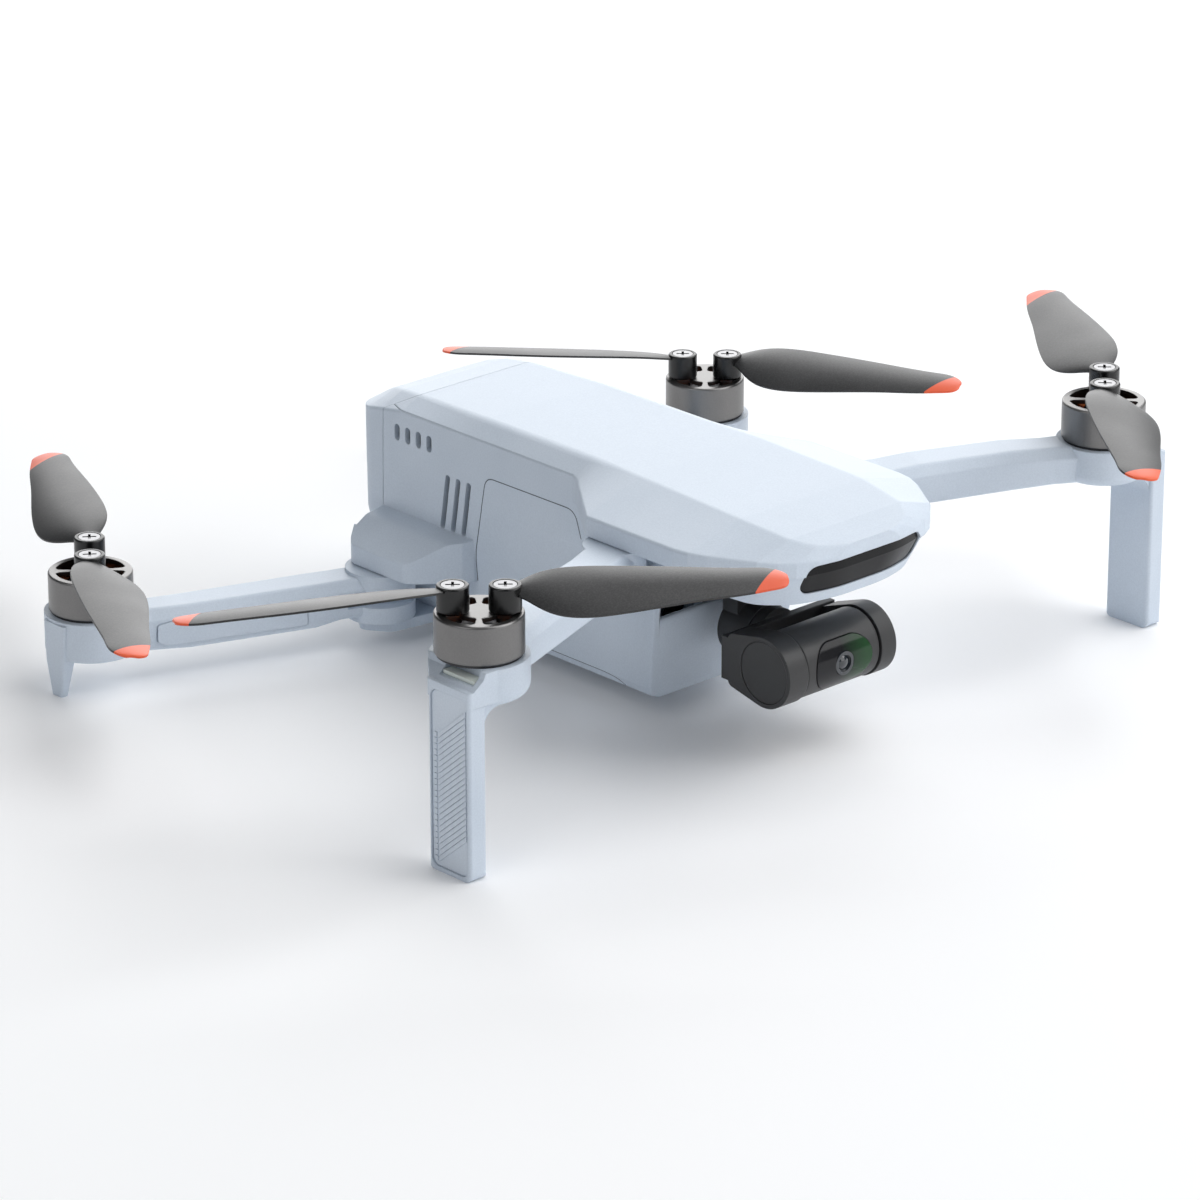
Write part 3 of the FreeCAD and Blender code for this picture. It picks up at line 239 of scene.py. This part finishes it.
def recessed_steel(name):
    """Screw steel with painted shade: the colour falls to near-black where an occlusion test finds a recess,
    as in the cross.
    """
    paint = Paint(name)
    smooth = paint.rounded(0.08 * MM)
    recess_painted_shade = paint.node("ShaderNodeAmbientOcclusion", {"Distance": RECESS_REACH}, samples=RECESS_SAMPLES)
    speck = paint.noise(3000.0, 2.0)
    bright = paint.drifting(speck, rgb(128, 128, 130), rgb(152, 152, 154))
    # Painted shade: near-black where the occlusion mask finds a recess.
    colour = paint.mix(paint.steps(recess_painted_shade.outputs["AO"], 0.35, 0.8), rgb(14, 14, 15), bright)
    paint.set(Base_Color=colour, Metallic=1.0, Roughness=paint.steps(speck, 0.2, 0.8, 0.26, 0.36))
    paint.set(Normal=paint.bump(speck, 0.006 * MM, smooth))
    return paint.material


screw_head = recessed_steel("rotor screw")

TIP_START = 52.5 * MM
TIP_SLANT = 0.58
TIP_BLUR = 0.06 * MM
BOSS_REACH = 3.6 * MM
BOSS_BLUR = 0.2 * MM
BOSS_SMOOTHER = 0.12
ANTICLOCKWISE_CORNERS = ("front_right", "rear_left")


def blade_paint(name, corner, index):
    """Dark blade plastic with a near-black boss, and an orange tip cut off slantwise across the blade."""
    hinge = Vector(joints["blade_%s_%d_hinge" % (corner, index)]["pos_m"])
    mesh = nodes["blade_%s_%d" % (corner, index)].data
    tip = max((vertex.co for vertex in mesh.vertices), key=lambda spot: (spot.xy - hinge.xy).length)
    along = (tip - hinge).xy.normalized()
    lead = 1 if corner in ANTICLOCKWISE_CORNERS else -1
    paint = Paint(name)
    parts = paint.node("ShaderNodeSeparateXYZ", {0: paint.place}).outputs
    east = paint.maths("SUBTRACT", parts[0], hinge.x)
    north = paint.maths("SUBTRACT", parts[1], hinge.y)

    def toward(x, y):
        """The distance from the hinge along one direction."""
        return paint.maths("ADD", paint.maths("MULTIPLY", east, x), paint.maths("MULTIPLY", north, y))

    reach = toward(along.x, along.y)
    across = toward(-along.y * lead, along.x * lead)
    edge = paint.maths("SUBTRACT", reach, paint.maths("MULTIPLY", across, TIP_SLANT))
    squares = [paint.maths("MULTIPLY", value, value) for value in (east, north)]
    distance = paint.maths("SQRT", paint.maths("ADD", *squares))
    is_boss = paint.steps(distance, BOSS_REACH, BOSS_REACH - BOSS_BLUR)
    is_tip = paint.steps(edge, TIP_START - TIP_BLUR, TIP_START + TIP_BLUR)
    smooth = paint.rounded(0.12 * MM)
    speck = paint.noise(2600.0, 3.0)
    drift = paint.noise(60.0, 3.0)
    grey = paint.drifting(drift, rgb(36, 36, 37), rgb(44, 44, 45))
    grey = paint.mix(paint.steps(speck, 0.4, 0.75, 0.0, 0.35), grey, rgb(82, 82, 82))
    orange = paint.drifting(drift, rgb(226, 84, 42), rgb(236, 96, 52))
    colour = paint.mix(is_boss, paint.mix(is_tip, grey, orange), rgb(13, 13, 14))
    matt = paint.steps(drift, 0.2, 0.8, 0.35, 0.44)
    wear = paint.maths("SUBTRACT", matt, paint.maths("MULTIPLY", is_boss, BOSS_SMOOTHER))
    paint.set(Base_Color=colour, Roughness=wear, Normal=paint.bump(speck, 0.014 * MM, smooth))
    return paint.material


def dress(material, *names):
    """Give CAD nodes a material."""
    for name in names:
        data = nodes[name].data
        data.materials.clear()
        data.materials.append(material)


def both(*names):
    """Each name with the endings of both sides."""
    return [name + "_" + side for name in names for side in SIDES]


def each(name):
    """A name with the endings of the four corners."""
    return [name + "_" + corner for corner in CORNERS]


dress(shell, "top_shell", "main_frame", "belly_shell", "belly_cover", "nose_bezel", "front_bracket")
dress(shell, "battery_cap", "power_button", "battery_latch")
dress(shell, *both("arm_front", "arm_rear", "rear_arm_cover"))
dress(window, "nose_window")
dress(dark, "vent_mesh", "gimbal_connectors", "battery_case", "gimbal_plate")
dress(board, "main_board", "gps_module")
dress(sink, "heat_sink")
dress(steel, "board_screws", "cover_screws", "hinge_pins")
dress(glass, "sensor_lenses", "camera_lens")
dress(rubber, "gimbal_dampers", "gimbal_ribbon")
dress(gimbal, "gimbal_yaw_arm", "gimbal_roll_arm", "gimbal_tilt_cap", "camera_barrel")
dress(lens_plate, "camera_window")
dress(lamp, "battery_lights", *both("leg_light"))
dress(motor, *each("bell"))
dress(iron, *each("stator"))
dress(screw_head, *each("rotor_screws"))
for corner in CORNERS:
    for index in BLADES:
        name = "blade_%s_%d" % (corner, index)
        dress(blade_paint("blade " + name, corner, index), name)

# ---- pieces with more detail than the CAD -------------------------------------------------------------


def add_piece(name, form, material, body, *stands_for):
    """A finished bmesh as a piece that rides on a body."""
    mesh = bpy.data.meshes.new(name)
    bmesh.ops.recalc_face_normals(form, faces=form.faces)
    form.to_mesh(mesh)
    form.free()
    mesh.materials.append(material)
    made = bpy.data.objects.new(name, mesh)
    bpy.context.scene.collection.objects.link(made)
    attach(made, body)
    if stands_for:
        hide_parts(*stands_for)


def tube(form, rings, closed):
    """Skin a row of rings of points; the ends are capped unless the row closes on itself."""
    rows = [[form.verts.new(spot) for spot in ring] for ring in rings]
    count = len(rows[0])
    last = len(rows) if closed else len(rows) - 1
    for i in range(last):
        here, there = rows[i], rows[(i + 1) % len(rows)]
        for k in range(count):
            form.faces.new((here[k], here[(k + 1) % count], there[(k + 1) % count], there[k]))
    if not closed:
        form.faces.new(rows[0])
        form.faces.new(rows[-1])


ARC_STEPS = 6


def round_corners(points, radius):
    """An open 2-D path whose inner corners are rounded."""
    path = [Vector(points[0])]
    for before, corner, after in zip(points, points[1:], points[2:]):
        before, corner, after = Vector(before), Vector(corner), Vector(after)
        start = corner + (before - corner).normalized() * radius
        end = corner + (after - corner).normalized() * radius
        for i in range(ARC_STEPS + 1):
            share = i / ARC_STEPS
            path.append(start.lerp(corner, share).lerp(corner.lerp(end, share), share))
    path.append(Vector(points[-1]))
    return path


def surface_of(*names):
    """The surface of some CAD nodes, to lay lines on."""
    spots, faces = [], []
    for name in names:
        mesh = nodes[name].data
        first = len(spots)
        spots += [vertex.co.copy() for vertex in mesh.vertices]
        faces += [[first + k for k in face.vertices] for face in mesh.polygons]
    return BVHTree.FromPolygons(spots, faces)


# Seams run through (y, z) points in millimetres.
EAR_SEAM = [(17.4, 18.2), (17.2, 24.0), (13.2, 44.0), (-15.4, 44.1), (-17.4, 38.0)]
EAR_CORNER = 2.6
EAR_SEAM_WIDTH = 0.22
BELLY_SEAM = [(14.0, 8.0), (-22.0, 8.0), (-26.0, 7.6), (-28.2, 6.4)]
BELLY_CORNER = 1.4
BELLY_SEAM_WIDTH = 0.18
LINE_STEP = 0.7 * MM
LINE_PROUD = 0.02 * MM
LINE_SUNK = 0.12 * MM
BESIDE_BODY = 80 * MM


def side_line(form, tree, side, path, width):
    """A thin closed strip along a (y, z) path in millimetres, laid on one side of the body."""
    spots = []
    for first, second in zip(path, path[1:]):
        parts = max(1, math.ceil((second - first).length * MM / LINE_STEP))
        spots += [first.lerp(second, i / parts) * MM for i in range(parts)]
    spots.append(path[-1] * MM)
    hits = []
    for spot in spots:
        place, normal = tree.ray_cast(Vector((side * BESIDE_BODY, spot.x, spot.y)), Vector((-side, 0, 0)))[:2]
        if place is not None:
            hits.append((place, normal if normal.x * side > 0 else -normal))
    rings = []
    for i, (place, normal) in enumerate(hits):
        ahead = (hits[min(i + 1, len(hits) - 1)][0] - hits[max(i - 1, 0)][0]).normalized()
        across = normal.cross(ahead).normalized() * width * MM / 2
        top, low = place + normal * LINE_PROUD, place - normal * LINE_SUNK
        rings.append([top - across, top + across, low + across, low - across])
    if len(rings) > 1:
        tube(form, rings, False)


def body_lines():
    """Dark strips of painted shadow along the joints between the mouldings on both sides of the body."""
    tree = surface_of("main_frame", "belly_shell", "top_shell")
    form = bmesh.new()
    for side in SIDES.values():
        side_line(form, tree, side, round_corners(EAR_SEAM, EAR_CORNER), EAR_SEAM_WIDTH)
        side_line(form, tree, side, round_corners(BELLY_SEAM, BELLY_CORNER), BELLY_SEAM_WIDTH)
    add_piece("body_lines", form, seam_painted_shadow, "frame")


# The leg's insert, in millimetres.
PAD_Y = (-71.75, -61.15)
PAD_Z = (1.05, 39.65)
PAD_X = (103.4, 104.05)
PAD_CORNER = 1.75
PLATE_BELOW_RIBS = 0.25
RIB_HEIGHT = 0.35
RIB_PITCH = 1.3
RIB_SHARE = 0.82
RIB_SLOPE = math.tan(math.radians(40.0))
RIB_MARGIN = 1.0
RIBS_INSET = (0.35, 2.0)
DASH_INSET = (0.7, 1.5)


def rounded_rectangle(y0, y1, z0, z1, radius):
    """The outline of a rectangle with rounded corners, as (y, z) points."""
    corners = ((y1 - radius, z1 - radius), (y0 + radius, z1 - radius),
               (y0 + radius, z0 + radius), (y1 - radius, z0 + radius))
    points = []
    for quarter, (y, z) in enumerate(corners):
        for i in range(ARC_STEPS + 1):
            turn = math.radians(90 * (quarter + i / ARC_STEPS))
            points.append((y + radius * math.cos(turn), z + radius * math.sin(turn)))
    return points


def slab(form, side, outline, low, high):
    """A closed slab on a (y, z) outline in millimetres between two distances from the middle plane."""
    rings = [[Vector((side * x, y, z)) * MM for y, z in outline] for x in (low, high)]
    tube(form, rings, False)


def leg_pad(side_name, side):
    """A leg's insert: a plate with slanting ribs and a column of short dashes."""
    form = bmesh.new()
    (y0, y1), (z0, z1) = PAD_Y, PAD_Z
    under, face = PAD_X
    slab(form, side, rounded_rectangle(y0, y1, z0, z1, PAD_CORNER), under, face - PLATE_BELOW_RIBS)
    far, near = y0 + RIBS_INSET[0], y1 - RIBS_INSET[1]
    rise = (near - far) * RIB_SLOPE
    front, back = y1 - DASH_INSET[1], y1 - DASH_INSET[0]
    for i in range(int((z1 - z0 - 2 * RIB_MARGIN - rise) / RIB_PITCH)):
        low = z0 + RIB_MARGIN + RIB_PITCH * i
        high = low + RIB_PITCH * RIB_SHARE
        rib = [(near, low), (near, high), (far, high + rise), (far, low + rise)]
        dash = [(front, low), (back, low), (back, high), (front, high)]
        for outline in (rib, dash):
            slab(form, side, outline, face - RIB_HEIGHT, face)
    add_piece("ribbed_pad_" + side_name, form, rib_shell, "arm_front_" + side_name, "leg_pad_" + side_name)


TEETH = 9
WIRE_R = 0.3 * MM
TURNS_AT = (5.6 * MM, 6.2 * MM, 6.8 * MM, 7.4 * MM)
COIL_HALF_WIDTH = 1.5 * MM
COIL_HALF_HEIGHT = 2.6 * MM
COIL_BELOW_TOP = 2.75 * MM
COIL_POINTS = 16
WIRE_POINTS = 6
UP = Vector((0, 0, 1))


def squarish(value):
    """A sine or cosine pushed outwards, so that a circle becomes a square with round corners."""
    return math.copysign(abs(value) ** 0.5, value)


def turns(count):
    """The angles of some equal steps round a circle."""
    return [math.radians(360 / count * i) for i in range(count)]


def wire_loop(centre, out, across):
    """The rings of one turn of wire round a tooth that points along out."""
    rings = []
    for turn in turns(COIL_POINTS):
        wide = squarish(math.cos(turn)) * COIL_HALF_WIDTH
        tall = squarish(math.sin(turn)) * COIL_HALF_HEIGHT
        spot = centre + across * wide + UP * tall
        outward = across * math.cos(turn) + UP * math.sin(turn)
        section = [outward * math.cos(angle) + out * math.sin(angle) for angle in turns(WIRE_POINTS)]
        rings.append([spot + offset * WIRE_R for offset in section])
    return rings


def windings(corner):
    """Copper turns round the nine teeth of one motor."""
    low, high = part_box("stator_" + corner)
    middle = (low + high) / 2
    hub = Vector((middle.x, middle.y, high.z - COIL_BELOW_TOP))
    form = bmesh.new()
    for angle in turns(TEETH):
        out = Vector((math.cos(angle), math.sin(angle), 0))
        across = Vector((-out.y, out.x, 0))
        for radius in TURNS_AT:
            tube(form, wire_loop(hub + out * radius, out, across), True)
    add_piece("windings_" + corner, form, copper, "arm_" + corner)


body_lines()
for side_name, side in SIDES.items():
    leg_pad(side_name, side)
for corner in CORNERS:
    windings(corner)

# ---- floor, light and camera --------------------------------------------------------------------------

FLOOR_HALF = 6.0
SKY = (0.93, 0.96, 1.0, 1.0)
SKY_STRENGTH = 0.2
LAMPS_FACE = Vector((0, 0, 0.03))
CAMERA_AZIMUTH = -43.03
CAMERA_ELEVATION = 21.56
CAMERA_DISTANCE = 1.1896
CAMERA_TARGET = Vector((-0.0708, -0.0754, 0.0538))
CAMERA_LENS = 176.3
SENSOR_WIDTH = 36.0
CLIP_RANGE = (0.05, 50.0)


def floor():
    """A large flat pale floor."""
    paint = Paint("studio floor")
    soft = paint.drifting(paint.noise(3.0), rgb(250, 251, 252), rgb(253, 253, 254))
    paint.set(Base_Color=soft, Roughness=0.85)
    mesh = bpy.data.meshes.new("studio_floor")
    corners = [(x * FLOOR_HALF, y * FLOOR_HALF, 0) for x, y in ((-1, -1), (1, -1), (1, 1), (-1, 1))]
    mesh.from_pydata(corners, [], [(0, 1, 2, 3)])
    mesh.materials.append(paint.material)
    made = bpy.data.objects.new("studio_floor", mesh)
    bpy.context.scene.collection.objects.link(made)


def softbox(name, place, size, power):
    """A square lamp that faces the drone; its power is in watts."""
    data = bpy.data.lights.new(name, "AREA")
    data.shape = "SQUARE"
    data.size = size
    data.energy = power
    made = bpy.data.objects.new(name, data)
    made.location = place
    made.rotation_euler = (LAMPS_FACE - Vector(place)).to_track_quat("-Z", "Y").to_euler()
    bpy.context.scene.collection.objects.link(made)


def studio():
    """Plain soft light: a key over the drone's left, softboxes in front, behind and on its right."""
    world = bpy.data.worlds.new("studio")
    world.use_nodes = True
    backdrop = world.node_tree.nodes["Background"]
    backdrop.inputs["Color"].default_value = SKY
    backdrop.inputs["Strength"].default_value = SKY_STRENGTH
    bpy.context.scene.world = world
    softbox("key", (0.9, -0.5, 1.3), 1.8, 24.5)
    softbox("front", (0.5, -1.5, 0.6), 1.2, 7.0)
    softbox("back", (0.9, 1.0, 0.55), 1.2, 12.0)
    softbox("side", (-1.3, -0.1, 1.1), 1.0, 5.0)
    bpy.context.scene.view_settings.view_transform = "Standard"


def camera():
    """The camera at the reference view."""
    azimuth, elevation = math.radians(CAMERA_AZIMUTH), math.radians(CAMERA_ELEVATION)
    flat = math.cos(elevation)
    back = Vector((math.sin(azimuth) * flat, -math.cos(azimuth) * flat, math.sin(elevation)))
    data = bpy.data.cameras.new("camera")
    data.lens = CAMERA_LENS
    data.sensor_width = SENSOR_WIDTH
    data.clip_start, data.clip_end = CLIP_RANGE
    made = bpy.data.objects.new("camera", data)
    made.location = CAMERA_TARGET + back * CAMERA_DISTANCE
    made.rotation_euler = (-back).to_track_quat("-Z", "Y").to_euler()
    bpy.context.scene.collection.objects.link(made)
    bpy.context.scene.camera = made


floor()
studio()
camera()
